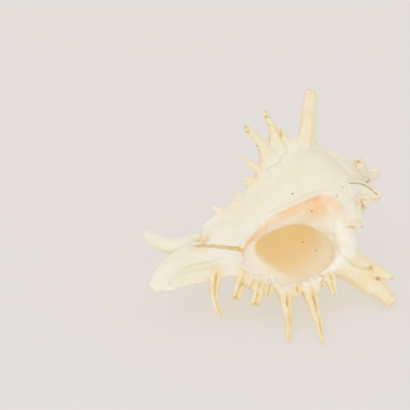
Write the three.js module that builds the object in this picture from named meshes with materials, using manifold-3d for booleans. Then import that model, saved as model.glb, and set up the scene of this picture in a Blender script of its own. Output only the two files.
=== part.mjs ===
// Ramose murex shell, resting on its spines with the mouth to the front.
// Millimetres, +Z up. The shell is modelled in its own coiling frame (apex at the origin, canal
// towards -Z, outer lip at +X, growing towards -Y at the lip) and then laid down on the floor.
// Places in that frame are a radius from the axis, a distance below the apex, and an angle in
// degrees counted back from the lip through the growth.
import * as THREE from "three";
import { mergeVertices } from "three/addons/utils/BufferGeometryUtils.js";
import Module from "manifold-3d";

const wasm = await Module();
wasm.setup();

// ---- Driving dimensions -------------------------------------------------------------------------
const whorlGrowth = 1.65; // size of each whorl over the one before
const whorlCount = 5; // whorls from the lip up to the apex
const varixAngles = [116, 226, 346]; // degrees back from the lip
const varixRidge = 12; // height of a varix over the whorl at the lip's size
const varixHalfAngle = 11; // degrees
const knobAngles = [58, 171, 286]; // a knob stands on the shoulder between two varices
const knobHeight = 2.5;
const knobHalfAngle = 24;
const lipFlare = 24; // degrees over which the whorl opens into the lip
const neckTop = 40; // the poles of a whorl's solid, below the apex
const neckEnd = 156;

// Attitude at rest, in degrees.
const axisAzimuth = 30; // the spire points right and away from the mouth
const axisElevation = 9;
const lipDrop = 30; // the lip's spines point this far below the horizontal

// Outline of the last whorl: radius, distance below the apex, and how far the point keeps still
// while the whorl shrinks (the neck is shared by every stage).
const bodyOutline = [
  [26, 54, 0],
  [41, 59, 0],
  [49, 69, 0],
  [56, 83, 0],
  [55, 97, 0],
  [47, 110, 0.05],
  [34, 120, 0.1],
  [23, 129, 0.3],
  [16, 139, 0.6],
  [12, 150, 1],
];

// The same points where the whorl ends in the outer lip.
const lipOutline = [
  [26, 56],
  [38, 60],
  [49, 68],
  [56, 80],
  [58, 93],
  [57, 107],
  [53, 121],
  [43, 132],
  [33, 138],
  [16, 150],
];

// Outline of the mouth at the lip, and of its flare over the whorl before (radius, below).
const mouthOutline = [
  [13, 126],
  [23, 133],
  [33, 134],
  [41, 129],
  [51, 119],
  [54, 107],
  [55, 94],
  [52, 80],
  [42, 65.5],
  [31, 65.5],
  [18, 73],
  [12, 86],
  [11, 104],
];
const throatOutline = [
  [12, 116],
  [17, 123],
  [24, 121],
  [32, 116],
  [43, 107],
  [50, 98],
  [51.5, 88],
  [50, 78],
  [43, 67],
  [32, 64],
  [19, 71],
  [11, 84],
  [9, 100],
];
const flareOutline = [
  [14, 128],
  [30, 140],
  [45, 140],
  [60, 135],
  [70, 120],
  [74, 107],
  [75, 94],
  [72, 78],
  [58, 56],
  [40, 50],
  [33, 66],
  [21, 86],
  [15, 106],
];
// The hollow's sections, in degrees from the lip: the flare leaves the whorl in front of it, and the
// throat ends behind it.
const flareAngles = [-66, -55, -44, -33, -22, -11, 0];
const throatAngles = [4, 8, 12, 16, 20, 24, 34, 46, 60, 75, 90, 105, 120, 136, 152, 170, 190, 215];
const closingAngle = 120; // where the throat starts to close
const throatClosing = 0.7; // and how far it has closed at its end

// ---- Coiling helpers ----------------------------------------------------------------------------
const radians = THREE.MathUtils.degToRad;
const { lerp, smoothstep } = THREE.MathUtils;
const shrink = (turns) => Math.pow(whorlGrowth, -turns); // size after so many turns back from the lip
const bell = (x) => (Math.abs(x) < 1 ? Math.cos((x * Math.PI) / 2) ** 2 : 0);

const peak = (places, angle, half) => Math.max(...places.map((at) => bell((angle - at) / half)));

function shellPoint(radius, below, angle) {
  return new THREE.Vector3(radius * Math.cos(radians(angle)), radius * Math.sin(radians(angle)), -below);
}

// The outline at an angle back from the lip, from the top pole down to the neck.
function outlineAt(angle, pieces) {
  const size = shrink(angle / 360);
  const lip = bell(angle / lipFlare);
  const knob = knobHeight * size * peak(knobAngles, angle, knobHalfAngle);
  const curve = new THREE.SplineCurve(
    bodyOutline.map(([radius, below, still], i) => {
      const scale = lerp(size, 1, still);
      const shoulder = knob * bell((below - 68) / 16);
      return new THREE.Vector2(
        lerp(radius * scale + shoulder, lipOutline[i][0], lip),
        lerp(below * scale, lipOutline[i][1], lip),
      );
    }),
  );
  const ridge = varixRidge * size * peak(varixAngles, angle, varixHalfAngle);
  const points = curve.getSpacedPoints(pieces).map((point, i) => {
    const along = curve.getTangentAt(i / pieces);
    const rise = ridge * Math.sin((Math.PI * i) / pieces) ** 0.6;
    return new THREE.Vector2(point.x + along.y * rise, point.y - along.x * rise);
  });
  return [new THREE.Vector2(0, neckTop), ...points, new THREE.Vector2(0, neckEnd)];
}

// ---- Mesh helpers -------------------------------------------------------------------------------
function geometryFrom(points, faces) {
  const geometry = new THREE.BufferGeometry();
  geometry.setAttribute("position", new THREE.Float32BufferAttribute(points.flatMap((p) => p.toArray()), 3));
  geometry.setIndex(faces.flat());
  return geometry;
}

function solidFrom(points, faces) {
  const merged = mergeVertices(geometryFrom(points, faces), 1e-3);
  const vertProperties = merged.attributes.position.array;
  const triVerts = new Uint32Array(merged.index.array).filter((v, i, all) => {
    const [a, b, c] = all.slice(i - (i % 3), i - (i % 3) + 3);
    return a !== b && b !== c && a !== c;
  });
  const solid = new wasm.Manifold(new wasm.Mesh({ numProp: 3, vertProperties, triVerts }));
  if (solid.volume() > 0) return solid;
  triVerts.reverse();
  return new wasm.Manifold(new wasm.Mesh({ numProp: 3, vertProperties, triVerts }));
}

// A closed tube through rings of points: each ring has the same count, and the ends are fans.
function ringsSolid(rings) {
  const around = rings[0].length;
  const points = rings.flat();
  const faces = [];
  for (let i = 0; i + 1 < rings.length; i++) {
    for (let j = 0; j < around; j++) {
      const [a, b] = [i * around + j, i * around + ((j + 1) % around)];
      faces.push([a, b, b + around], [a, b + around, a + around]);
    }
  }
  for (const start of [0, (rings.length - 1) * around]) {
    const ring = rings[start / around];
    const centre = ring.reduce((sum, p) => sum.add(p), new THREE.Vector3()).divideScalar(around);
    const hub = points.push(centre) - 1;
    for (let j = 0; j < around; j++) {
      const [a, b] = [start + j, start + ((j + 1) % around)];
      faces.push(start === 0 ? [b, a, hub] : [a, b, hub]);
    }
  }
  return solidFrom(points, faces);
}

// ---- Body ---------------------------------------------------------------------------------------
// Half a whorl: its outline, closed along the axis, swept from one angle to another.
function sweptSolid(from, to, steps, pieces) {
  const rings = [];
  for (let i = 0; i <= steps; i++) {
    const angle = lerp(from, to, i / steps);
    rings.push(outlineAt(angle, pieces).map((p) => shellPoint(p.x, p.y, angle)));
  }
  return ringsSolid(rings);
}

// A whole whorl from the lip back, with a flat step where it meets the whorl before.
function whorlSolid(steps, pieces) {
  return sweptSolid(0, 181, steps, pieces).add(sweptSolid(180, 361, steps, pieces));
}

function bodySolid() {
  let body = whorlSolid(27, 16);
  for (let k = 1; k < whorlCount; k++) {
    const size = shrink(k);
    body = body.add(whorlSolid(20 - 4 * k, 15 - 3 * k).scale([size, size, size]));
  }
  return body;
}

// ---- Mouth --------------------------------------------------------------------------------------
function hollowSolid() {
  const section = (outline) => {
    const points = outline.map(([radius, below]) => new THREE.Vector2(radius, below));
    return new THREE.SplineCurve([...points, points[0]]).getPoints(2 * points.length).slice(0, -1);
  };
  const mouth = section(mouthOutline);
  const flare = section(flareOutline);
  const throat = section(throatOutline);
  const throatMiddle = throat.reduce((sum, p) => sum.add(p), new THREE.Vector2()).divideScalar(throat.length);
  const inFront = flareAngles.map((angle) =>
    mouth.map((p, i) => {
      const q = p.clone().lerp(flare[i], angle / flareAngles[0]);
      return shellPoint(q.x, q.y, angle);
    }),
  );
  const behind = throatAngles.map((angle) => {
    const size = shrink(angle / 360);
    const closed = throatClosing * smoothstep(angle, closingAngle, throatAngles.at(-1));
    return mouth.map((p, i) => {
      const q = p.clone().lerp(throat[i], 1 - bell(angle / lipFlare)).lerp(throatMiddle, closed);
      return shellPoint(q.x * size, q.y * size, angle);
    });
  });
  return ringsSolid([...inFront, ...behind]);
}

// ---- Canal --------------------------------------------------------------------------------------
// A flattened tube: stations of a centre (x, y, below), half its width across the mouth's plane,
// and half its thickness through that plane.
function flatTube(stations, around) {
  const places = stations.map(([x, y, below]) => new THREE.Vector3(x, y, -below));
  const centres = new THREE.CatmullRomCurve3(places);
  const through = new THREE.Vector3(0, 1, 0);
  return ringsSolid(
    stations.map(([, , , width, thickness], i) => {
      const t = i / (stations.length - 1);
      const across = new THREE.Vector3().crossVectors(centres.getTangent(t), through).normalize();
      return Array.from({ length: around }, (_, j) => {
        const turn = (2 * Math.PI * j) / around;
        return centres
          .getPoint(t)
          .addScaledVector(across, width * Math.cos(turn))
          .addScaledVector(through, thickness * Math.sin(turn));
      });
    }),
  );
}

// The open canal of the lip, its thin outer flange, and the two canals of earlier lips beside it.
const canal = [
  [13, 0, 126, 11, 9],
  [8, 0, 142, 11, 10],
  [5, 0, 156, 10, 9],
  [4, 0, 170, 9, 6],
  [8, 0, 184, 8.5, 4.5],
  [13, 0, 195, 6.5, 3],
  [15, 0, 201, 3.5, 2],
];
const flange = [
  [24, 0, 140, 7, 2.5],
  [19, 0, 154, 8, 2.2],
  [16, 0, 168, 9, 2],
  [15, 0, 182, 7.5, 2],
  [16, 0, 194, 5, 1.8],
];
const lastCanal = [
  [3, 3, 132, 9, 8],
  [-2, 3, 146, 8, 8],
  [-6, 3, 160, 7, 6.5],
  [-11, 3, 171, 6, 5],
  [-19, 3, 179, 4.5, 4],
  [-28, 3, 184, 2, 2],
];
const stubCanal = [
  [0, -3, 126, 8, 7],
  [-5, -4, 138, 7, 6],
  [-8, -5, 149, 5, 4.5],
];
// The slit that opens the canal: centre line, half its width, and half its depth.
const slit = [
  [21, -14, 128, 1.6, 9],
  [16, -14, 138, 1.6, 9],
  [8, -14, 150, 1.4, 7],
  [0, -14, 162, 1, 6],
];

// ---- Spines -------------------------------------------------------------------------------------
// Each spine: root and tip as (radius, below, angle), radius of the root, how far its middle bows
// towards the canal, and how much of its width is lost at the tip (less where it is broken off).
// Its open groove faces the way the shell grew.
const lipSpines = [
  [[17, 150, 3], [54, 169.5, 0], 4.2, 7],
  [[30, 136, 3], [37, 141, 0], 3.2, 0],
  [[33, 138, 3], [46, 153, 0], 3.2, 1],
  [[38, 131, 3], [41, 138, 0], 2, 0],
  [[41, 128, 3], [55.5, 143.5, 0], 3.4, 0],
  [[47, 122, 3], [52, 130, 0], 2.2, 0],
  [[50, 115, 3], [89.6, 137.2, 2], 4.6, -2],
  [[55, 106, 3], [60, 111, 0], 2.4, 0],
  [[55, 98, 3], [102.9, 118.6, -1], 5.2, 1],
  [[55, 85, 4], [70, 88.5, 2], 4, 0],
];
const shoulderSpine = [[46, 69, 8], [97.2, 47.4, 8.2], 12, -3, 0.8];
const shoulderFork = [[60, 58, 9], [80, 41, 3], 7.5, -2];
const topSpines = [
  [[42, 53, 228], [77.7, 41.3, 228], 5, 0, 0.15],
  [[48, 71, 226], [56.2, 71.2, 226], 3, 0, 0.3],
  [[46, 76, 226], [73.7, 81, 226], 3.2, -1],
  [[43, 84, 226], [68.5, 98.2, 226], 3.9, -1],
  [[33, 92, 226], [51.6, 108.8, 226], 2.8, 0],
  [[28, 99, 226], [35.5, 109.7, 226], 2.2, 0],
  [[26, 103, 226], [29.5, 108, 226], 1.8, 0],
  [[12, 107, 226], [21, 118.3, 226], 3.2, 0],
  [[9, 126, 226], [24, 137.9, 226], 3.8, 0],
];
const hiddenSpines = [
  [[50, 58, 116], [92.3, 50, 108], 6, 3],
  [[53, 74, 116], [84.8, 84, 108], 4.6, 0],
  [[50, 84, 116], [64, 92, 114], 3, 0],
  [[44, 92, 116], [70, 112, 113], 4, 0],
  [[36, 100, 116], [47, 112, 115], 3, 0],
  [[28, 108, 116], [40, 124, 115], 3, 0],
  [[20, 118, 116], [32, 136, 115], 3.2, 2],
];
const spireSpines = [
  [[14, 40, 296], [17, 14, 0], 5, -3],
  [[20, 33, 346], [41, 45, 350], 5.2, 0, 0.3],
  [[9, 14, 180], [16, 9, 180], 3.4, 0, 0.2],
  [[14, 24, 106], [27, 22, 106], 3.6, 0, 0.4],
  [[15, 30, 226], [22, 30, 226], 3, 0, 0.4],
];
const sharpTaper = 0.72;
const grooveSection = [-135, -85, -30, 30, 85, 135]; // degrees from the back of a spine
const spineStations = [0, 0.25, 0.5, 0.75, 1];
const grooveDepth = 0.15; // how far behind the middle of the section the groove stops

function spineSolid([root, tip, radius, bow, taper = sharpTaper]) {
  const place = ([r, below, angle]) => shellPoint(r, below, angle);
  const [start, end] = [place(root), place(tip)];
  const middle = start.clone().lerp(end, 0.5).add(new THREE.Vector3(0, 0, -bow));
  const curve = new THREE.QuadraticBezierCurve3(start, middle, end);
  const growth = shellPoint(1, 0, root[2] - 90);
  return ringsSolid(
    spineStations.map((t) => {
      const along = curve.getTangent(t);
      const side = new THREE.Vector3().crossVectors(along, growth).normalize();
      const back = new THREE.Vector3().crossVectors(along, side).normalize();
      if (back.dot(growth) > 0) back.negate();
      const size = radius * (1 - taper * t ** 1.2);
      const at = (across, behind) =>
        curve.getPoint(t).addScaledVector(side, across * size).addScaledVector(back, behind * size);
      const outside = grooveSection.map((turn) => at(Math.sin(radians(turn)), Math.cos(radians(turn))));
      return [...outside, at(0, -grooveDepth)];
    }),
  );
}

// ---- Laying the shell down ----------------------------------------------------------------------
// Columns: the lip's direction, the direction behind the mouth, and the axis towards the apex.
function restTurn() {
  const [azimuth, elevation] = [radians(axisAzimuth), radians(axisElevation)];
  const axis = new THREE.Vector3(
    Math.cos(elevation) * Math.cos(azimuth),
    Math.cos(elevation) * Math.sin(azimuth),
    Math.sin(elevation),
  );
  // The lip direction is square to the axis and drops by lipDrop, on the near side.
  const down = -Math.sin(radians(lipDrop));
  const flat = axis.x ** 2 + axis.y ** 2;
  const along = (-axis.z * down) / flat;
  const side = Math.sqrt((1 - down ** 2 - along ** 2 * flat) / flat);
  const lip = new THREE.Vector3(along * axis.x + side * axis.y, along * axis.y - side * axis.x, down);
  const behind = new THREE.Vector3().crossVectors(axis, lip);
  return new THREE.Matrix4().makeBasis(lip, behind, axis);
}

// ---- The whole shell ----------------------------------------------------------------------------
function shellSolid() {
  let solid = bodySolid();
  for (const tube of [canal, flange, lastCanal, stubCanal]) solid = solid.add(flatTube(tube, 12));
  const shoulderSpines = [shoulderSpine, shoulderFork];
  for (const spine of [...lipSpines, ...shoulderSpines, ...topSpines, ...hiddenSpines, ...spireSpines]) {
    solid = solid.add(spineSolid(spine));
  }
  return solid.subtract(hollowSolid()).subtract(flatTube(slit, 8));
}

const out = shellSolid().getMesh();
const geometry = new THREE.BufferGeometry();
geometry.setAttribute("position", new THREE.BufferAttribute(new Float32Array(out.vertProperties), 3));
geometry.setIndex(new THREE.BufferAttribute(out.triVerts, 1));
geometry.computeVertexNormals();

const shell = new THREE.Mesh(
  geometry,
  new THREE.MeshStandardMaterial({ color: 0xefe7d0, roughness: 0.7, metalness: 0 }),
);
shell.name = "shell";
const root = new THREE.Group();
root.add(shell);
root.applyMatrix4(restTurn());
// The origin is on the floor, under the middle of the shell's box.
root.updateMatrixWorld(true);
const box = new THREE.Box3().setFromObject(root, true);
const middle = box.getCenter(new THREE.Vector3());
root.position.set(-middle.x, -middle.y, -box.min.z);
export default root;
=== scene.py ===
import itertools
import math

import bmesh
import bpy
import numpy as np
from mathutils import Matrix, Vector
from mathutils.bvhtree import BVHTree


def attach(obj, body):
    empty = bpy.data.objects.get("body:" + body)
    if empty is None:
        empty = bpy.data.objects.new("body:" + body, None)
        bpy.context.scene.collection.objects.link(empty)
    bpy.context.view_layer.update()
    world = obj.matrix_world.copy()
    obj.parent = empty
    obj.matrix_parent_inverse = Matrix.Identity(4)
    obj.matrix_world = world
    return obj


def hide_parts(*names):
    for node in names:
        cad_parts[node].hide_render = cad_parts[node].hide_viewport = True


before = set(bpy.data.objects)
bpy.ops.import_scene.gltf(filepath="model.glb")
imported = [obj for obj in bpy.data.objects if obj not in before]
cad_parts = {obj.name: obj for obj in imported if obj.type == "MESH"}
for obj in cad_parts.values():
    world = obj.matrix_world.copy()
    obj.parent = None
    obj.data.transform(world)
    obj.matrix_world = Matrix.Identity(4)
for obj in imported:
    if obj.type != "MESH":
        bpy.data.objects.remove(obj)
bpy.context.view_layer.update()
print("frame loaded")

# The shell is worked out in millimetres in its coiling frame: apex at the origin, canal towards -Z,
# outer lip at +X, growth towards -Y at the lip. A place there is a radius from the axis, a distance
# below the apex, and an angle in degrees counted back from the lip.
rest = {
    "axisAzimuth": 30,
    "axisElevation": 9,
    "lipDrop": 30,
    "apex": (82.8, 45.9, 69.9),  # over the floor, from the middle of the shell's box
}

coil = {
    "growth": 1.65,  # size of each whorl over the one before
    "whorls": 6,
    "varices": (116, 226, 346),
    "varixRidge": 12,
    "varixHalfAngle": 11,
    "knobs": (58, 171, 286),
    "knobHeight": 2.5,
    "knobHalfAngle": 24,
    "lipFlare": 24,
    "neckTop": 40,
    "neckEnd": 156,
    # radius, distance below the apex, and how far the point keeps still as the whorl shrinks
    "outline": [
        (26, 54, 0),
        (41, 59, 0),
        (49, 69, 0),
        (56, 83, 0),
        (55, 97, 0),
        (47, 110, 0.05),
        (34, 120, 0.1),
        (23, 129, 0.3),
        (16, 139, 0.6),
        (12, 150, 1),
    ],
    # the same points where the whorl ends in the outer lip
    "lip": [
        (26, 56),
        (38, 60),
        (49, 68),
        (56, 80),
        (58, 93),
        (57, 107),
        (53, 121),
        (43, 132),
        (33, 138),
        (16, 150),
    ],
}

mouth = {
    "flareAngle": 66,  # in front of the lip, where the flare leaves the whorl
    "endAngle": 215,  # behind the lip, where the hollow ends
    "closingAngle": 120,
    "closing": 0.7,  # how far it has closed at its end
    "deepAngle": 95,  # where the throat's golden tint, painted shade and painted light let through the wall, is at its full
    "deepEnd": 230,
    "lip": [
        (13, 126),
        (23, 133),
        (33, 134),
        (41, 129),
        (51, 119),
        (54, 107),
        (55, 94),
        (52, 80),
        (42, 68),
        (31, 68.5),
        (18, 75),
        (12, 86),
        (11, 104),
    ],
    "throat": [
        (12, 116),
        (17, 123),
        (24, 121),
        (32, 116),
        (43, 107),
        (50, 98),
        (51.5, 88),
        (50, 78),
        (43, 67),
        (32, 64),
        (19, 71),
        (11, 84),
        (9, 100),
    ],
    "flare": [
        (26, 131),
        (34, 140),
        (45, 140),
        (60, 135),
        (70, 120),
        (74, 107),
        (75, 94),
        (72, 82),
        (58, 74),
        (43, 67),
        (31, 69),
        (17, 86),
        (14, 106),
    ],
}


def shrink(angle):
    return coil["growth"] ** (-angle / 360)


def bell(x):
    return np.where(np.abs(x) < 1, np.cos(np.clip(x, -1, 1) * math.pi / 2) ** 2, 0.0)


def peak(places, angle, half):
    return max(float(bell((angle - at) / half)) for at in places)


def smooth(x, low, high):
    t = np.clip((x - low) / (high - low), 0, 1)
    return t * t * (3 - 2 * t)


def coilPoint(radius, below, angle):
    turn = math.radians(angle)
    return np.array([radius * math.cos(turn), radius * math.sin(turn), -below])


def spline(points, count, closed=False):
    # Catmull-Rom through the points, sampled evenly between them
    p = np.array(points, float)
    n = len(p)
    t = np.linspace(0, n if closed else n - 1, count, endpoint=not closed)
    i = np.minimum(t.astype(int), n - 1 if closed else n - 2)
    w = (t - i)[:, None]
    pick = (lambda k: p[k % n]) if closed else (lambda k: p[np.clip(k, 0, n - 1)])
    a, b, c, d = pick(i - 1), pick(i), pick(i + 1), pick(i + 2)
    v0, v1 = (c - a) / 2, (d - b) / 2
    return (2 * b - 2 * c + v0 + v1) * w**3 + (3 * c - 3 * b - 2 * v0 - v1) * w**2 + v0 * w + b


def evenly(points, count):
    # the same line, in equal steps of length
    steps = np.linalg.norm(np.diff(points, axis=0), axis=1)
    along = np.concatenate([[0], np.cumsum(steps)])
    at = np.linspace(0, along[-1], count)
    return np.stack([np.interp(at, along, points[:, k]) for k in range(points.shape[1])], 1)


def outlineAt(angle, count):
    size = shrink(angle)
    lip = float(bell(angle / coil["lipFlare"]))
    knob = coil["knobHeight"] * size * peak(coil["knobs"], angle, coil["knobHalfAngle"])
    places = []
    for (radius, below, still), (lipRadius, lipBelow) in zip(coil["outline"], coil["lip"]):
        scale = size + (1 - size) * still
        shoulder = knob * float(bell((below - 68) / 16))
        whorl = np.array([radius * scale + shoulder, below * scale])
        places.append(whorl + (np.array([lipRadius, lipBelow]) - whorl) * lip)
    line = evenly(spline(places, count * 3), count)
    along = np.gradient(line, axis=0)
    along /= np.linalg.norm(along, axis=1)[:, None]
    ridge = coil["varixRidge"] * size * peak(coil["varices"], angle, coil["varixHalfAngle"])
    rise = ridge * np.sin(np.linspace(0, math.pi, count)) ** 0.6
    line[:, 0] += along[:, 1] * rise
    line[:, 1] -= along[:, 0] * rise
    return np.vstack([[0, coil["neckTop"]], line, [0, coil["neckEnd"]]])


class Parts:
    # closed parts collected in the coiling frame, then made into one mesh object
    def __init__(self):
        self.points, self.faces, self.count = [], [], 0

    def add(self, points, faces):
        self.points.append(np.asarray(points, float))
        self.faces += [[v + self.count for v in face] for face in faces]
        self.count += len(points)

    def addRings(self, rings, scale=1.0):
        rings = np.array(rings, float) * scale
        count, around, _ = rings.shape
        points = np.vstack([rings.reshape(-1, 3), rings[0].mean(0), rings[-1].mean(0)])
        faces = []
        for i in range(count - 1):
            for j in range(around):
                a, b = i * around + j, i * around + (j + 1) % around
                faces.append((a, b, b + around, a + around))
        for j in range(around):
            k, last = (j + 1) % around, (count - 1) * around
            faces.append((k, j, count * around))
            faces.append((last + j, last + k, count * around + 1))
        self.add(points, faces)

    def build(self, name):
        data = bpy.data.meshes.new(name)
        data.from_pydata(toRoom(np.vstack(self.points)).tolist(), [], self.faces)
        solid = bmesh.new()
        solid.from_mesh(data)
        bmesh.ops.recalc_face_normals(solid, faces=solid.faces)
        solid.to_mesh(data)
        solid.free()
        data.update()
        piece = bpy.data.objects.new(name, data)
        bpy.context.scene.collection.objects.link(piece)
        return piece


def restTurn():
    # columns: the lip's direction, the direction behind the mouth, and the axis towards the apex
    azimuth, elevation = math.radians(rest["axisAzimuth"]), math.radians(rest["axisElevation"])
    flatLength = math.cos(elevation)
    axis = np.array([flatLength * math.cos(azimuth), flatLength * math.sin(azimuth), math.sin(elevation)])
    down = -math.sin(math.radians(rest["lipDrop"]))
    along = -axis[2] * down / flatLength**2
    side = math.sqrt(1 - down**2 - (along * flatLength) ** 2) / flatLength
    lip = np.array([along * axis[0] + side * axis[1], along * axis[1] - side * axis[0], down])
    return np.stack([lip, np.cross(axis, lip), axis], 1)


turn = restTurn()


def toRoom(points):
    return (points @ turn.T + np.array(rest["apex"])) / 1000


def toCoil(points):
    return (points * 1000 - np.array(rest["apex"])) @ turn


def turned(line, angle):
    # a ring: the line of radii and distances below the apex, at an angle
    a = math.radians(angle)
    return np.stack([line[:, 0] * math.cos(a), line[:, 0] * math.sin(a), -line[:, 1]], 1)


def sweep(angles, count):
    return [turned(outlineAt(angle, count), angle) for angle in angles]


def addWhorls(parts):
    first = sweep(np.linspace(0, 181, 121), 90)
    second = sweep(np.linspace(180, 361, 121), 90)
    for k in range(coil["whorls"]):
        size = coil["growth"] ** -k
        parts.addRings(first, size)
        parts.addRings(second, size)


def hollowRings():
    # the mouth's hollow: a flare over the whorl before, the lip, and a throat that closes
    lip, throat, flare = (spline(mouth[key], 78, closed=True) for key in ("lip", "throat", "flare"))
    middle = throat.mean(0)
    inFront = np.linspace(-mouth["flareAngle"], 0, 34)
    behind = np.linspace(1.5, mouth["endAngle"], 110)
    rings = []
    for angle in np.concatenate([inFront, behind]):
        line = lip + (flare - lip) * max(0, -angle / mouth["flareAngle"])
        line = line + (throat - line) * (1 - float(bell(angle / coil["lipFlare"])) if angle > 0 else 0)
        closed = mouth["closing"] * float(smooth(angle, mouth["closingAngle"], mouth["endAngle"]))
        line = (line + (middle - line) * closed) * shrink(max(0, angle))
        rings.append(turned(line, angle))
    return rings


# stations of a flattened tube: centre (x, y, below), half its width across the mouth's plane, and
# half its thickness through that plane
canals = {
    "canal": [
        (13, 0, 126, 11, 9),
        (8, 0, 142, 11, 10),
        (5, 0, 156, 10, 9),
        (4, 0, 170, 9, 6),
        (8, 0, 184, 8.5, 4.5),
        (13, 0, 195, 6.5, 3),
        (15, 0, 201, 3.5, 2),
    ],
    "flange": [
        (31, 0, 131, 6, 2),
        (24, 0, 141, 8, 2.5),
        (19, 0, 154, 8, 2.2),
        (16, 0, 168, 9, 2),
        (15, 0, 182, 7.5, 2),
        (16, 0, 194, 5, 1.8),
    ],
    "lastCanal": [
        (3, 3, 132, 9, 8),
        (-2, 3, 146, 8, 8),
        (-6, 3, 160, 7, 6.5),
        (-11, 3, 171, 6, 5),
        (-19, 3, 179, 5.6, 5),
        (-27, 3, 183, 3.8, 3.5),
    ],
    "stubCanal": [
        (0, -3, 126, 8, 7),
        (-5, -4, 138, 7, 6),
        (-8, -5, 149, 5, 4.5),
    ],
    "slit": [
        (20, -14, 126.5, 1.6, 9),
        (15, -14, 137.5, 0.8, 9),
        (8, -14, 150, 0.7, 7),
        (0, -14, 162, 0.5, 6),
    ],
    # the thick edge that carries the lip over onto the whorl before
    "lipBand": [
        (17, -23, 50, 7, 6),
        (24, -19, 52, 8, 6),
        (29, -15, 55, 8, 6),
        (34, -9, 56, 7.5, 6),
        (40, -3, 58, 8, 6),
        (48, 0, 62, 9, 6),
        (58, 2, 61, 8, 5),
        (68, 5, 56, 5, 4),
    ],
}


def tubeRings(stations, count, around):
    line = spline(stations, count)
    centres = line[:, :3] * (1, 1, -1)
    along = np.gradient(centres, axis=0)
    along /= np.linalg.norm(along, axis=1)[:, None]
    through = np.array([0.0, 1.0, 0.0])
    rings = []
    for centre, direction, (width, thickness) in zip(centres, along, line[:, 3:]):
        across = np.cross(direction, through)
        across /= np.linalg.norm(across)
        t = np.linspace(0, 2 * math.pi, around, endpoint=False)[:, None]
        rings.append(centre + across * width * np.cos(t) + through * thickness * np.sin(t))
    return rings


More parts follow.
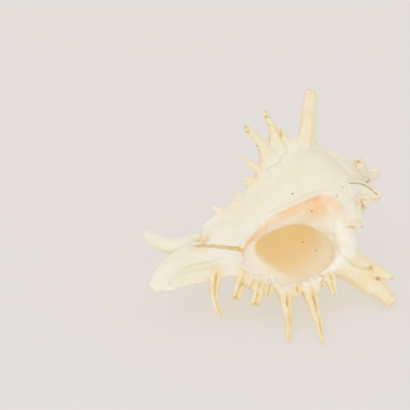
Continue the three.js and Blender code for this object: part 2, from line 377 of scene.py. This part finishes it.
# root and tip as (radius, below, angle), then how it differs from the plain spine: radius of the
# root, bow of the middle towards the canal or the place it goes via, width lost at the tip, half the
# groove's opening at the root and at the tip as a share of the radius there, how far the groove is
# turned from the way the shell grew, how far the root spreads, how ragged a broken end is in mm, and
# how much yellower than the whorls it is
plainSpine = {
    "radius": 3,
    "bow": 0,
    "via": None,
    "taper": 0.72,
    "gape": (0.4, 0.3),
    "turned": 0,
    "spread": 0.4,
    "broken": 0,
    "tint": 1,
}
spines = {
    "lip": [
        (
            (13, 145, 5),
            (54, 169.5, 0),
            dict(radius=4.8, bow=11, taper=0.7, gape=(0.16, 0.2), spread=0.5),
        ),
        ((29, 135, 3), (38, 143, 0), dict(radius=4.2, taper=0.3, gape=(0.2, 0.5), broken=1.5)),
        ((32, 137, 3), (46, 153, 0), dict(radius=4.2, bow=1, taper=0.2, gape=(0.16, 0.45), broken=2.5)),
        ((37, 131, 3), (43.5, 140, 0), dict(radius=3.6, taper=0.5, gape=(0.3, 0.5), broken=1)),
        ((40, 128, 3), (55.5, 143.5, 0), dict(radius=4.4, taper=0.25, gape=(0.16, 0.45), broken=2.5)),
        ((45, 123, 3), (54, 132, 0), dict(radius=4, taper=0.5, gape=(0.3, 0.5), broken=1)),
        (
            (49, 115, 3),
            (89.6, 137.2, 2),
            dict(radius=5.6, bow=-2, taper=0.76, gape=(0.12, 0.14), spread=1),
        ),
        ((53, 108, 3), (63, 113, 0), dict(radius=4, taper=0.5, gape=(0.3, 0.5), broken=1)),
        (
            (54, 98, 3),
            (102.9, 118.6, -1),
            dict(radius=6.2, bow=1, taper=0.78, gape=(0.12, 0.14), spread=1),
        ),
        ((55, 90, 3), (64, 94, 0), dict(radius=3.4, taper=0.4, gape=(0.3, 0.5), broken=1)),
        ((54, 82, 4), (72, 88, 2), dict(radius=4.6, taper=0.5, gape=(0.16, 0.45), broken=1.5)),
        ((44, 69, 6), (93.6, 48.6, 8.2), dict(radius=12, bow=-3, taper=0.62, gape=None, broken=3)),
        ((60, 58, 7), (79, 41.8, 3), dict(radius=7.5, bow=-2, taper=0.7, gape=None, broken=0.6)),
    ],
    "top": [
        (
            (35, 57, 224),
            (76.3, 41.5, 228),
            dict(radius=7.4, taper=0.15, gape=(0.16, 0.4), turned=50, broken=2.4),
        ),
        (
            (46, 69, 222),
            (57, 71.5, 226),
            dict(radius=4, taper=0.3, gape=(0.3, 0.5), turned=120, broken=1),
        ),
        (
            (43, 75, 221),
            (73.7, 81, 226),
            dict(radius=5.6, bow=-1, taper=0.5, turned=60, spread=1, broken=2),
        ),
        (
            (40, 83, 221),
            (68.5, 98.2, 226),
            dict(radius=6.2, bow=-1, taper=0.55, turned=60, spread=1, broken=2),
        ),
        ((31, 91, 221), (51.6, 108.8, 226), dict(radius=4.2, turned=60, spread=0.9)),
        ((26, 98, 222), (35.5, 109.7, 226), dict(radius=3.4)),
        ((25, 102, 222), (31, 110, 226), dict(radius=3)),
        ((12, 106, 224), (25, 118.5, 226), dict(radius=7, taper=0.4, gape=None, tint=0.2)),
        ((8, 124, 226), (24, 137.9, 226), dict(radius=6.5, taper=0.85, spread=0.8, tint=0.3)),
    ],
    "hidden": [
        ((50, 58, 116), (92.3, 50, 108), dict(radius=6.4, bow=3)),
        ((53, 74, 116), (84.8, 84, 108), dict(radius=5)),
        ((50, 84, 116), (64, 92, 114), dict(radius=3.6)),
        ((44, 92, 116), (70, 112, 113), dict(radius=4.4)),
        ((36, 100, 116), (47, 112, 115), dict(radius=3.4)),
        ((28, 108, 116), (40, 124, 115), dict(radius=3.6)),
        ((20, 118, 116), (32, 136, 115), dict(radius=3.8, bow=2)),
    ],
    "spire": [
        (
            (30, 53, 303),
            (33, 24.5, 328),
            dict(radius=8.5, via=(28, 36, 309), taper=0.55, gape=None, broken=1.5),
        ),
        ((24, 48, 326), (39, 51, 341), dict(radius=8, taper=0.2, gape=None, broken=4)),
        ((38, 53, 335), (43, 48, 345), dict(radius=3.6, taper=0.3, gape=None, broken=2)),
        ((18, 35, 325), (32.5, 38, 329), dict(radius=6.2, taper=0.05, gape=None, broken=2)),
        ((20, 33, 328), (31, 29, 332), dict(radius=3.8, taper=0.3, gape=None, broken=1.5)),
        ((8, 21, 246), (17, 17, 248), dict(radius=5, taper=0.3, gape=None, broken=1)),
        ((10, 26, 268), (21, 27, 268), dict(radius=4.4, taper=0.4, gape=None, broken=1)),
        ((2, 10, 270), (0.5, 1.5, 270), dict(radius=5, taper=0.15, gape=None, broken=1.5)),
        ((14, 24, 106), (27, 22, 106), dict(radius=4, taper=0.4, broken=1)),
        ((15, 30, 226), (23, 30, 226), dict(radius=3.6, taper=0.4, broken=1)),
    ],
}

# folds and cracks: the places each passes, its half width and depth in mm, and how dark it is; on the
# folds the dark is painted shade, on the cracks and the old canal's line it is their own brown
creases = {
    "frondFold": (
        [(48, 70, 355), (51, 70, 354), (58, 66, 357), (64, 61, 359), (68, 53, 1), (78, 54, 2)],
        1.3, 1.2, 0.22,
    ),
    "archCrack": (
        [(39, 48.6, 295), (36, 42, 298), (34, 36, 303), (33.6, 31, 311), (35, 27.7, 321)],
        0.9, 0.7, 0.85,
    ),
    "archBranch": ([(15, 22, 316), (12.8, 19, 314), (11.7, 16.8, 311)], 0.8, 0.5, 0.9),
    "oldCanal": ([(5, 165, 256), (7, 161, 290), (9, 157, 300)], 0.9, 0.8, 0.5),
    "lobeFold": (
        [(16, 187, 0), (13, 178, 358), (13, 170, 359), (17, 157, 358), (18, 149, 357)],
        2.4, 2, 0.1,
    ),
    "bandFold": (
        [(36, 61, 311), (34, 63, 321), (33, 65, 338), (35, 66, 346), (43, 69, 357)],
        1.8, 0.15, 0.08,
    ),
    "pleatLeft": ([(40, 119, 10), (45, 127, 0), (49, 132, 359)], 1.4, 1.1, 0.1),
    "pleatRight": ([(40, 119, 10), (46, 122, 4), (53, 125, 0)], 1.4, 1.1, 0.1),
}
# where joints between parts are eased: the place, and how far around it in mm
joints = [
    ((35, 65, 345), 14),
    ((34, 65, 357), 18),
    ((43, 67, 357), 18),
    ((56, 66, 358), 16),
    ((18, 139, 352), 9),
    ((17, 128, 6), 7),
    ((24, 130, 7), 7),
    ((31, 130, 7), 7),
    ((38, 129, 3), 6),
]
# brown hollows and stains: where, and how wide in mm
spots = [
    ((66, 53, 1), 1.7),
    ((75, 52, 4), 2.2),
    ((17, 20, 252), 1.8),
    ((32, 39, 326), 3.6),
    ((40, 53, 342), 1.3),
    ((44, 49, 342), 1.5),
    ((36, 53, 297), 1.6),
    ((36, 60, 303), 1.4),
    ((65, 98, 228), 1.6),
    ((62.6, 97.6, 228), 1.4),
    ((59, 96, 227), 1.5),
    ((53, 93, 227), 1.2),
    ((70.4, 81.5, 228), 1.4),
    ((64, 80.5, 228), 1.2),
]

# the callus, the glaze that the mouth lays over the whorl before
callus = {
    "edge": [(58, 312), (64, 297), (75, 291), (91, 288), (102, 290), (112, 300), (121, 318), (131, 336)],
    "height": 0.6,  # all in mm; the edge is given as (below, angle)
    "peachInside": 4,
    "peachHalf": 8,
    "cornerBelow": 70,
    "cornerHalf": 18,
}


class Grain:
    # a smooth random field in millimetres, the same each run
    def __init__(self, seed):
        self.table = np.random.default_rng(seed).uniform(-1, 1, (32, 32, 32))

    def at(self, points, size):
        place = np.asarray(points, float) / size
        corner = np.floor(place).astype(int)
        f = place - corner
        f = f * f * (3 - 2 * f)
        total = 0
        for step in itertools.product((0, 1), repeat=3):
            share = np.prod([f[..., k] if d else 1 - f[..., k] for k, d in enumerate(step)], axis=0)
            i = (corner + step) % 32
            total = total + share * self.table[i[..., 0], i[..., 1], i[..., 2]]
        return total


lumps, flecks = Grain(7), Grain(11)


class Spine:
    # a tapering gutter whose groove faces the way the shell grew
    def __init__(self, root, tip, own, groupTint):
        look = {**plainSpine, **own}
        start, end = coilPoint(*root), coilPoint(*tip)
        middle = (start + end) / 2 - np.array([0, 0, look["bow"]])
        if look["via"]:
            middle = 2 * coilPoint(*look["via"]) - (start + end) / 2
        length = np.linalg.norm(end - start)
        self.broken, self.tint = look["broken"], look["tint"] * groupTint
        self.t = np.linspace(0, 1, max(12, int(length / 0.7)))
        t = self.t[:, None]
        self.centres = (1 - t) ** 2 * start + 2 * t * (1 - t) * middle + t**2 * end
        self.along = np.gradient(self.centres, axis=0)
        self.along /= np.linalg.norm(self.along, axis=1)[:, None]
        growth = coilPoint(1, 0, root[2] - 90)
        self.side = np.cross(self.along, growth)
        self.side /= np.linalg.norm(self.side, axis=1)[:, None]
        self.back = np.cross(self.along, self.side)
        self.back *= -np.sign(self.back @ growth)[:, None]
        c, d = math.cos(math.radians(look["turned"])), math.sin(math.radians(look["turned"]))
        self.side, self.back = self.side * c + self.back * d, self.back * c - self.side * d
        # the middle wanders a little between the root and the tip
        sway = np.sin(self.t * math.pi) * look["radius"] * 0.16
        self.centres += self.side * (sway * lumps.at(self.centres + 40, 9))[:, None]
        self.centres += self.back * (sway * lumps.at(self.centres + 90, 9))[:, None]
        foot = np.clip(1 - self.t * length / (3 * look["radius"]), 0, 1) ** 2
        self.width = look["radius"] * (1 - look["taper"] * self.t**1.15) * (1 + look["spread"] * foot)
        self.width *= 1 + 0.07 * lumps.at(self.centres + 20, 4)
        self.open = look["gape"] is not None
        self.gape = np.interp(self.t, (0, 1), look["gape"] or (0, 0))

    def rings(self):
        rings = []
        for i, (centre, width, gape) in enumerate(zip(self.centres, self.width, self.gape)):
            reach = math.pi - math.asin(gape) if self.open else math.pi * 0.97
            outer = np.linspace(-reach, reach, 30)
            ribs = 1 + 0.07 * np.cos(outer * 6) * (width > 1.5)
            across, behind = np.sin(outer) * ribs, 0.85 * np.cos(outer) * ribs
            if self.open:
                inner = np.linspace(math.pi / 2, -math.pi / 2, 9)
                across = np.concatenate([across, max(gape * 1.2, 0.2) * np.sin(inner)])
                groove = float(smooth(self.t[i], 0.06, 0.3))
                behind = np.concatenate([behind, -0.8 + (0.2 + 0.25 * np.cos(inner)) * groove])
            ring = centre + width * (across[:, None] * self.side[i] + behind[:, None] * self.back[i])
            ragged = self.broken * float(smooth(self.t[i], 0.75, 1))
            ring += self.along[i] * ragged * flecks.at(ring, max(1.7, width * 0.9))[:, None]
            rings.append(ring)
        return rings

    def measure(self, points):
        # how far along, across and behind its middle each point is, in radii; far ones get None
        low, high = self.centres.min(0) - 9, self.centres.max(0) + 9
        near = np.nonzero(((points > low) & (points < high)).all(1))[0]
        if not len(near):
            return near, None, None, None
        gap = ((points[near, None] - self.centres[None, ::2]) ** 2).sum(2)
        station = np.minimum(gap.argmin(1) * 2, len(self.t) - 1)
        away = points[near] - self.centres[station]
        across = (away * self.side[station]).sum(1) / self.width[station]
        behind = (away * self.back[station]).sum(1) / self.width[station]
        along = (away * self.along[station]).sum(1)
        inside = (np.hypot(across, behind) < 1.35) & (np.abs(along) < 2.5)
        return near[inside], self.t[station][inside], across[inside], behind[inside]


groupTints = {"lip": 1, "top": 0.7, "hidden": 0.8, "spire": 0.35}
gutters = [Spine(*row, groupTints[group]) for group, rows in spines.items() for row in rows]


def applied(piece, kind, **settings):
    # runs one modifier and keeps its result in the mesh
    modifier = piece.modifiers.new(kind, kind)
    for key, value in settings.items():
        setattr(modifier, key, value)
    graph = bpy.context.evaluated_depsgraph_get()
    data = bpy.data.meshes.new_from_object(piece.evaluated_get(graph))
    piece.modifiers.clear()
    old = piece.data
    piece.data = data
    bpy.data.meshes.remove(old)
    print(kind.lower(), len(data.polygons), "faces")


meshing = {"voxel": 0.00062, "faces": 190000}


def makeShell():
    parts = Parts()
    addWhorls(parts)
    for key in ("canal", "flange", "lastCanal", "stubCanal", "lipBand"):
        parts.addRings(tubeRings(canals[key], 60, 40))
    for gutter in gutters:
        parts.addRings(gutter.rings())
    shell = parts.build("shellVisual")
    applied(shell, "REMESH", mode="VOXEL", voxel_size=meshing["voxel"], use_smooth_shade=True)
    cuts = Parts()
    cuts.addRings(hollowRings())
    hollow = cuts.build("hollow")
    cuts = Parts()
    cuts.addRings(tubeRings(canals["slit"], 40, 16))
    slit = cuts.build("slit")
    for cutter in (hollow, slit):
        applied(shell, "BOOLEAN", operation="DIFFERENCE", object=cutter, solver="MANIFOLD")
    applied(shell, "REMESH", mode="VOXEL", voxel_size=meshing["voxel"], use_smooth_shade=True)
    finishSurface(shell, hollow, slit)
    applied(shell, "DECIMATE", ratio=min(1, meshing["faces"] / (2 * len(shell.data.polygons))))
    dropCrumbs(shell)
    for cutter in (hollow, slit):
        bpy.data.objects.remove(cutter)
    return shell


easing = {
    "reach": 1.2,  # how near the cut hollow a point is that counts as its lining, in mm
    "callusRounds": 60,
    "bowlRounds": 12,
    "rounds": 260,
    "strength": 0.8,
    "jointStrength": 0.7,
}

relief = {
    "lump": 0.5,  # heights in mm, and how far apart they stand
    "lumpSize": 13,
    "smallLump": 0.18,
    "smallLumpSize": 4.5,
    "cord": 0.06,
    "cordStep": 5.2,
    "growthLine": 0.12,
    "growthLineSize": 2.2,
    "pit": 0.5,
    "pitSize": 1.9,
}

# the lower lip is folded into small scallops between its spines
scallops = {
    "middle": (33, 98),  # radius and distance below the apex of the place they fan out from
    "folds": 26,
    "depth": 0.7,
    "unevenSize": 2.5,
}

goldPatch = {"middle": (0, -8, -156), "size": 13}


def nearness(piece, points, reach):
    # 1 on the surface of the piece, falling to 0 at reach millimetres from it
    corners = [v.co for v in piece.data.vertices]
    tree = BVHTree.FromPolygons(corners, [p.vertices for p in piece.data.polygons])
    far = reach / 1000
    gaps = np.full(len(points), far)
    for i, point in enumerate(toRoom(points)):
        hit = tree.find_nearest(point, far)
        if hit[3] is not None:
            gaps[i] = hit[3]
    return 1 - smooth(gaps, 0, far)


class Web:
    # the mesh's edges, for evening out what its points hold
    def __init__(self, data):
        ends = np.zeros(len(data.edges) * 2, np.int32)
        data.edges.foreach_get("vertices", ends)
        self.a, self.b = ends[::2], ends[1::2]
        self.size = len(data.vertices)
        self.share = 1 / np.bincount(ends, minlength=self.size)

    def relax(self, values, weight, rounds):
        live = (weight[self.a] > 0) | (weight[self.b] > 0)
        a, b = self.a[live], self.b[live]
        for _ in range(rounds):
            total = np.bincount(a, values[b], self.size) + np.bincount(b, values[a], self.size)
            values = values + weight * (total * self.share - values)
        return values


def dropCrumbs(piece):
    # takes out the crumbs that the cuts set free: all that isn't joined to the topmost point
    web = Web(piece.data)
    held = np.zeros(web.size, bool)
    held[max(range(web.size), key=lambda i: piece.data.vertices[i].co.z)] = True
    joined = 0
    while held.sum() > joined:
        joined = held.sum()
        live = held[web.a] | held[web.b]
        held[web.a[live]] = held[web.b[live]] = True
    solid = bmesh.new()
    solid.from_mesh(piece.data)
    solid.verts.ensure_lookup_table()
    crumbs = [solid.verts[i] for i in np.nonzero(~held)[0]]
    bmesh.ops.delete(solid, geom=crumbs, context="VERTS")
    solid.to_mesh(piece.data)
    solid.free()
    print("dropped", len(crumbs), "points of crumbs")


def reached(points, line, far):
    # which points are nearer than far to the line's points, and how near
    near = np.nonzero(((points > line.min(0) - far) & (points < line.max(0) + far)).all(1))[0]
    gap = np.sqrt(((points[near, None] - line[None]) ** 2).sum(2).min(1))
    return near[gap < far], gap[gap < far]


def raiseTo(values, near, level):
    values[near] = np.maximum(values[near], level)


def easePoints(points, web, glaze):
    # rounds the callus off where the flare leaves the whorl, and softens the bowl and the joints
    even = np.full(web.size, 0.5)
    onFlare = glaze * smooth(points[:, 1], 0, -1) * (points[:, 0] > 0)
    spread = web.relax(onFlare, even, easing["callusRounds"])
    edge = np.clip(8 * spread * (1 - spread) - 0.2, 0, 1) * smooth(points[:, 1], 2, -2)
    bowl = web.relax(glaze, even, easing["bowlRounds"]) * smooth(points[:, 1], 1, 8)
    ease = np.maximum(edge, bowl) * easing["strength"]
    for place, size in joints:
        near, gap = reached(points, coilPoint(*place)[None], size)
        raiseTo(ease, near, easing["jointStrength"] * bell(gap / size))
    ease[ease < 0.1] = 0
    for k in range(3):
        points[:, k] = web.relax(web.relax(points[:, k], even, 2), ease, easing["rounds"])


def callusAt(points, radius, below, angle):
    # how far in from the callus's edge each point is, whether it is on it, and how peach it is there
    inward = np.radians(angle - np.interp(below, *np.transpose(callus["edge"]))) * radius
    top, end = callus["edge"][0][0], callus["edge"][-1][0]
    inward[(points[:, 1] > 0) | (below < top) | (below > end + 2)] = -9
    glazed = smooth(inward, -0.5, 2)
    band = 0.7 * bell((inward - callus["peachInside"]) / callus["peachHalf"])
    corner = bell((below - callus["cornerBelow"]) / callus["cornerHalf"])
    return inward, glazed, glazed * np.maximum(band, 1.1 * corner * smooth(inward, 22, 6))


def markSpines(points, spine, masks):
    for one in gutters:
        near, t, across, behind = one.measure(points)
        if t is None:
            continue
        raiseTo(spine, near, smooth(t, 0.05, 0.3))
        raiseTo(masks["yellow"], near, one.tint * smooth(t, 0.05, 0.3))
        if one.open:
            front = smooth(behind, 0.4, 0) * smooth(t, 0.1, 0.35)
            raiseTo(masks["gutter"], near, front * bell(across / 0.6))
        if one.broken:
            core = smooth(np.hypot(across, behind), 0.95, 0.4)
            raiseTo(masks["broken"], near, smooth(t, 0.88, 1) * (0.3 + 0.7 * core))


def carveMarks(points, rise, masks):
    for stops, width, deep, dark in creases.values():
        line = spline([coilPoint(*stop) for stop in stops], 40 * len(stops))
        near, gap = reached(points, line, 3 * width)
        rise[near] -= deep * bell(gap / (1.6 * width))
        rise[near] += 0.35 * deep * bell((gap - 2 * width) / width)
        # brown along the cracks, painted shade along the folds
        raiseTo(masks["crackAndFoldShade"], near, dark * bell(gap / (1.3 * width)))
    for place, size in spots:
        near, gap = reached(points, coilPoint(*place)[None], size * 1.6)
        raiseTo(masks["spot"], near, smooth(gap, 1.3 * size, 0.3 * size))
        rise[near] -= 0.15 * size * bell(gap / (1.2 * size))


def finishSurface(shell, hollow, slit):
    data = shell.data
    web = Web(data)
    flat = np.zeros(web.size * 3, np.float32)
    data.vertices.foreach_get("co", flat)
    points = toCoil(flat.reshape(-1, 3).astype(float))
    glaze = nearness(hollow, points, easing["reach"])
    easePoints(points, web, glaze)
    data.vertices.foreach_set("co", toRoom(points).astype(np.float32).ravel())
    data.update()
    data.vertex_normals.foreach_get("vector", flat)
    normals = flat.reshape(-1, 3).astype(float) @ turn
    radius = np.hypot(points[:, 0], points[:, 1])
    below = -points[:, 2]
    angle = np.degrees(np.arctan2(points[:, 1], points[:, 0])) % 360

    masks = {key: np.zeros(web.size) for key in ("yellow", "gutter", "broken", "crackAndFoldShade", "spot")}
    spine, rise = np.zeros(web.size), np.zeros(web.size)
    markSpines(points, spine, masks)
    carveMarks(points, rise, masks)
    inward, glazed, masks["peach"] = callusAt(points, radius, below, angle)
    masks["crack"] = nearness(slit, points, easing["reach"])
    lining = np.clip(web.relax(glaze, np.full(web.size, 0.5), 6) * 1.3, 0, 1)
    # the throat turns golden deeper into the mouth: painted shade and painted light let through the wall
    deep = np.where(angle > mouth["deepEnd"], 0, smooth(angle, 0, mouth["deepAngle"]))
    masks["depth"] = deep * lining
    lining = np.maximum(lining, glazed * (1 - spine))
    masks["lining"] = lining

    # lumps, cords and growth lines of the outside, and the pitted crust of the spire
    outside = (1 - lining) * (1 - spine)
    stage = np.where(below > 48, 1, coil["growth"])
    level = below * stage * coil["growth"] ** (angle / 360)
    spire = smooth(below, 40, 26) * (1 - spine * 0.5)
    old = np.maximum(spire, 0.3 * bell((angle - coil["varices"][0]) / 14) * (below > 40))
    pitted = smooth(flecks.at(points, relief["pitSize"]), 0.4, 0.75)
    pits = pitted * np.maximum(old, 0.25 * masks["broken"])
    rough = (1 - lining) * (1 + 1.4 * spine + 3 * spire)
    cords = np.cos(level * 2 * math.pi / relief["cordStep"])
    alongGrowth = np.stack([angle * 1.2, level * 0.05, below * 0], 1)
    rise += relief["lump"] * lumps.at(points, relief["lumpSize"]) * outside
    rise += relief["smallLump"] * lumps.at(points, relief["smallLumpSize"]) * rough
    rise += relief["cord"] * cords * outside * (below < 150)
    rise += relief["growthLine"] * lumps.at(alongGrowth, relief["growthLineSize"]) * outside
    rise += callus["height"] * glazed * smooth(inward, 9, 3)
    rise -= relief["pit"] * pits
    masks["spire"], masks["pits"] = spire, pits

    outward, downward = radius - scallops["middle"][0], below - scallops["middle"][1]
    margin = np.where(angle > 180, smooth(angle, 353, 360), smooth(angle, 9, 1))
    outerSide = smooth(np.hypot(outward, downward), 15, 20) * smooth(below, 84, 94) * (radius > 24)
    folds = np.cos(np.arctan2(downward, outward) * scallops["folds"])
    folds = folds + 0.5 * lumps.at(points, scallops["unevenSize"])
    rise += scallops["depth"] * folds * margin * outerSide * (1 - spine)
    masks["fold"] = np.clip(0.5 - folds * 0.5, 0, 1) * margin * outerSide

    points += normals * rise[:, None]
    data.vertices.foreach_set("co", toRoom(points).astype(np.float32).ravel())
    fromPatch = np.linalg.norm(points - goldPatch["middle"], axis=1)
    masks["patch"] = bell(fromPatch / goldPatch["size"]) * (1 - lining)
    for name, values in masks.items():
        layer = data.attributes.new(name, "FLOAT", "POINT")
        layer.data.foreach_set("value", values.astype(np.float32))
    data.update()
    print("surface finished,", web.size, "points")


class Flow:
    # a node's output; maths on it adds Math nodes
    def __init__(self, shader, socket):
        self.shader, self.socket = shader, socket

    def maths(self, operation, *values):
        return self.shader.add("Math", {"operation": operation}, dict(enumerate(values)))

    def __add__(self, other):
        return self.maths("ADD", self, other)

    def __sub__(self, other):
        return self.maths("SUBTRACT", self, other)

    def __rsub__(self, other):
        return self.maths("SUBTRACT", other, self)

    def __mul__(self, other):
        return self.maths("MULTIPLY", self, other)

    __radd__, __rmul__ = __add__, __mul__


class Shader:
    def __init__(self, name):
        self.material = bpy.data.materials.new(name)
        self.material.use_nodes = True
        self.tree = self.material.node_tree
        self.tree.nodes.clear()

    def add(self, kind, settings, sockets, output=0):
        node = self.tree.nodes.new("ShaderNode" + kind)
        for key, value in settings.items():
            setattr(node, key, value)
        for key, value in sockets.items():
            if isinstance(value, Flow):
                self.tree.links.new(value.socket, node.inputs[key])
            else:
                node.inputs[key].default_value = value
        return None if output is None else Flow(self, node.outputs[output])

    def finish(self, surface):
        self.add("OutputMaterial", {}, {"Surface": surface}, output=None)


def tone(red, green, blue):
    # a colour given as 0 to 255 on a screen
    parts = [c / 255 for c in (red, green, blue)]
    return (*[c / 12.92 if c <= 0.04045 else ((c + 0.055) / 1.055) ** 2.4 for c in parts], 1)


colours = {
    "chalk": tone(246, 241, 225),
    "chalkWarm": tone(245, 237, 213),
    "spine": tone(249, 230, 186),
    "gutter": tone(246, 222, 168),
    "gutterDeep": tone(214, 180, 110),
    "peach": tone(255, 208, 152),
    "lining": tone(254, 246, 230),
    # the throat's golden: painted shade and painted light let through the wall
    "throat": tone(255, 240, 196),
    # the throat's painted glow, warm where deep and pale where shallow
    "glow": tone(203, 174, 146),
    "paleGlow": tone(188, 190, 176),
    "gold": tone(232, 198, 134),
    "brown": tone(220, 178, 118),
    "pink": tone(248, 218, 194),
    # the cracks' own brown, also used as painted shade along the folds
    "crack": tone(178, 138, 76),
    "slit": tone(226, 186, 106),
    "speck": tone(120, 90, 60),
}
# dark specks, as places near the surface
specks = [(25, 84.5, 275), (22, 74.5, 315), (42, 64.5, 76), (40.5, 63.5, 53)]
shellFinish = {
    "roughness": 0.62,
    "liningGloss": 0.26,  # how much smoother the lining is
    "bump": 0.35,
    "bumpDepth": 0.0007,  # metres
    "letsLightIn": 0.12,
    "lightDepth": 0.003,
    # strength of the throat's painted glow
    "throatGlow": 0.14,
    "speckRadius": 0.0008,
}


def makeShellMaterial(shell):
    shader = Shader("bleachedShell")
    place = shader.add("TexCoord", {}, {}, output=3)

    def noise(scale, detail=3):
        return shader.add("TexNoise", {}, {"Vector": place, "Scale": scale, "Detail": detail})

    def mask(name):
        return shader.add("Attribute", {"attribute_name": name}, {}, output=2)

    def between(value, low, high):
        return shader.add("MapRange", {"interpolation_type": "SMOOTHSTEP"}, {0: value, 1: low, 2: high})

    def blend(share, first, second):
        return shader.add("Mix", {"data_type": "RGBA"}, {0: share, 6: first, 7: second}, output=2)

    broad, fine, grit = noise(28), noise(160), noise(700, 2)
    lining, gutter = mask("lining"), mask("gutter")
    colour = blend(between(broad, 0.4, 0.68), colours["chalk"], colours["chalkWarm"])
    colour = blend(mask("yellow") * between(fine, 0.25, 0.55) * 0.8, colour, colours["spine"])
    colour = blend(mask("spire") * between(broad, 0.48, 0.64) * 0.5, colour, colours["pink"])
    colour = blend(mask("fold") * 0.5, colour, colours["gutter"])
    colour = blend(lining, colour, colours["lining"])
    # painted shade and painted light: deeper into the mouth the colour turns golden
    colour = blend(between(mask("depth"), 0.3, 1), colour, colours["throat"])
    colour = blend(mask("peach") * between(noise(45), 0.24, 0.5), colour, colours["peach"])
    colour = blend(gutter * 0.85, colour, colours["gutter"])
    colour = blend(between(gutter, 0.55, 1) * between(fine, 0.3, 0.6) * 0.7, colour, colours["gutterDeep"])
    # brown in the cracks and painted shade along the folds
    colour = blend(mask("crackAndFoldShade") * between(fine, 0.1, 0.45), colour, colours["crack"])
    colour = blend(mask("broken") * between(fine, 0.46, 0.6) * 0.6, colour, colours["gutterDeep"])
    colour = blend(mask("spot") * between(fine, 0.38, 0.52), colour, colours["brown"])
    colour = blend(mask("patch") * between(fine, 0.36, 0.6) * 0.75, colour, colours["gold"])
    colour = blend(mask("crack") * 0.9, colour, colours["slit"])
    colour = blend(mask("pits") * 0.35, colour, colours["brown"])
    for speck in specks:
        spot = shell.closest_point_on_mesh(toRoom(coilPoint(*speck)))[1]
        gap = shader.add("VectorMath", {"operation": "DISTANCE"}, {0: place, 1: spot}, output=1)
        inSpeck = between(gap, shellFinish["speckRadius"], shellFinish["speckRadius"] / 2)
        colour = blend(inSpeck * 0.8, colour, colours["speck"])
    # painted light: the throat gives off a faint glow of its own, standing in for light let through the
    # thin wall
    glow = blend(between(mask("depth"), 0, 0.15), (0, 0, 0, 1), colours["paleGlow"])
    glow = blend(between(mask("depth"), 0.3, 0.8), glow, colours["glow"])
    roughness = shellFinish["roughness"] - lining * shellFinish["liningGloss"] + fine * 0.06
    height = fine * 0.5 + grit * 0.35 + broad
    strength = {"Strength": shellFinish["bump"], "Distance": shellFinish["bumpDepth"]}
    bump = shader.add("Bump", {}, {**strength, "Height": height})
    surface = shader.add(
        "BsdfPrincipled",
        {},
        {
            "Base Color": colour,
            "Roughness": roughness,
            "Normal": bump,
            "Subsurface Weight": shellFinish["letsLightIn"],
            "Subsurface Radius": (1.0, 0.7, 0.4),
            "Subsurface Scale": shellFinish["lightDepth"],
            "Emission Color": glow,
            "Emission Strength": shellFinish["throatGlow"],
        },
    )
    shader.finish(surface)
    return shader.material


shell = makeShell()
shell.data.materials.clear()
shell.data.materials.append(makeShellMaterial(shell))
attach(shell, "root")
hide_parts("shell")


floorLook = {
    "half": 3.0,  # metres
    "base": tone(137, 147, 170),
    "roughness": 0.85,
    "glow": tone(238, 223, 197),  # a pale floor that gives off a little light of its own
    "glowStrength": 0.63,
}


def makeFloor():
    half = floorLook["half"]
    corners = [(-half, -half, 0), (half, -half, 0), (half, half, 0), (-half, half, 0)]
    data = bpy.data.meshes.new("floor")
    data.from_pydata(corners, [], [(0, 1, 2, 3)])
    floor = bpy.data.objects.new("floor", data)
    bpy.context.scene.collection.objects.link(floor)
    shader = Shader("paleFloor")
    surface = shader.add(
        "BsdfPrincipled",
        {},
        {
            "Base Color": floorLook["base"],
            "Roughness": floorLook["roughness"],
            "Emission Color": floorLook["glow"],
            "Emission Strength": floorLook["glowStrength"],
        },
    )
    shader.finish(surface)
    data.materials.append(shader.material)


studio = {
    "elevation": 25,
    "distance": 0.9,
    "scale": 0.00074,  # metres for each unit of the 410-wide frame, at the shell
    "apexInFrame": (379, 171),
    "frame": 410,
    "skyStrength": 0.77,
    "lights": {  # place, size and power
        "key": ((-0.6, -1.0, 1.6), 1.2, 3.5),
        "front": ((0.1, -1.5, 0.45), 1, 3),
    },
    "lightsAimAt": (0, 0, 0.06),
}


def makeCamera():
    e = math.radians(studio["elevation"])
    right, up = Vector((1, 0, 0)), Vector((0, math.sin(e), math.cos(e)))
    ahead = Vector((0, math.cos(e), -math.sin(e)))
    half = studio["frame"] / 2
    offset = right * (studio["apexInFrame"][0] - half) + up * (half - studio["apexInFrame"][1])
    place = Vector(rest["apex"]) / 1000 - offset * studio["scale"] - ahead * studio["distance"]
    data = bpy.data.cameras.new("camera")
    data.sensor_width = 36
    data.lens = 36 * studio["distance"] / (studio["scale"] * studio["frame"])
    camera = bpy.data.objects.new("camera", data)
    bpy.context.scene.collection.objects.link(camera)
    camera.location = place
    camera.rotation_euler = (math.radians(90 - studio["elevation"]), 0, 0)
    bpy.context.scene.camera = camera


def makeLight():
    world = bpy.data.worlds.new("studio")
    bpy.context.scene.world = world
    world.use_nodes = True
    world.node_tree.nodes["Background"].inputs[0].default_value = (1, 1, 1, 1)
    world.node_tree.nodes["Background"].inputs[1].default_value = studio["skyStrength"]
    for name, (place, size, power) in studio["lights"].items():
        data = bpy.data.lights.new(name, "AREA")
        data.size, data.energy = size, power
        light = bpy.data.objects.new(name, data)
        bpy.context.scene.collection.objects.link(light)
        light.location = place
        ahead = Vector(studio["lightsAimAt"]) - Vector(place)
        light.rotation_euler = ahead.to_track_quat("-Z", "Y").to_euler()


makeFloor()
makeCamera()
makeLight()
bpy.context.scene.view_settings.view_transform = "Standard"
print("stage ready")
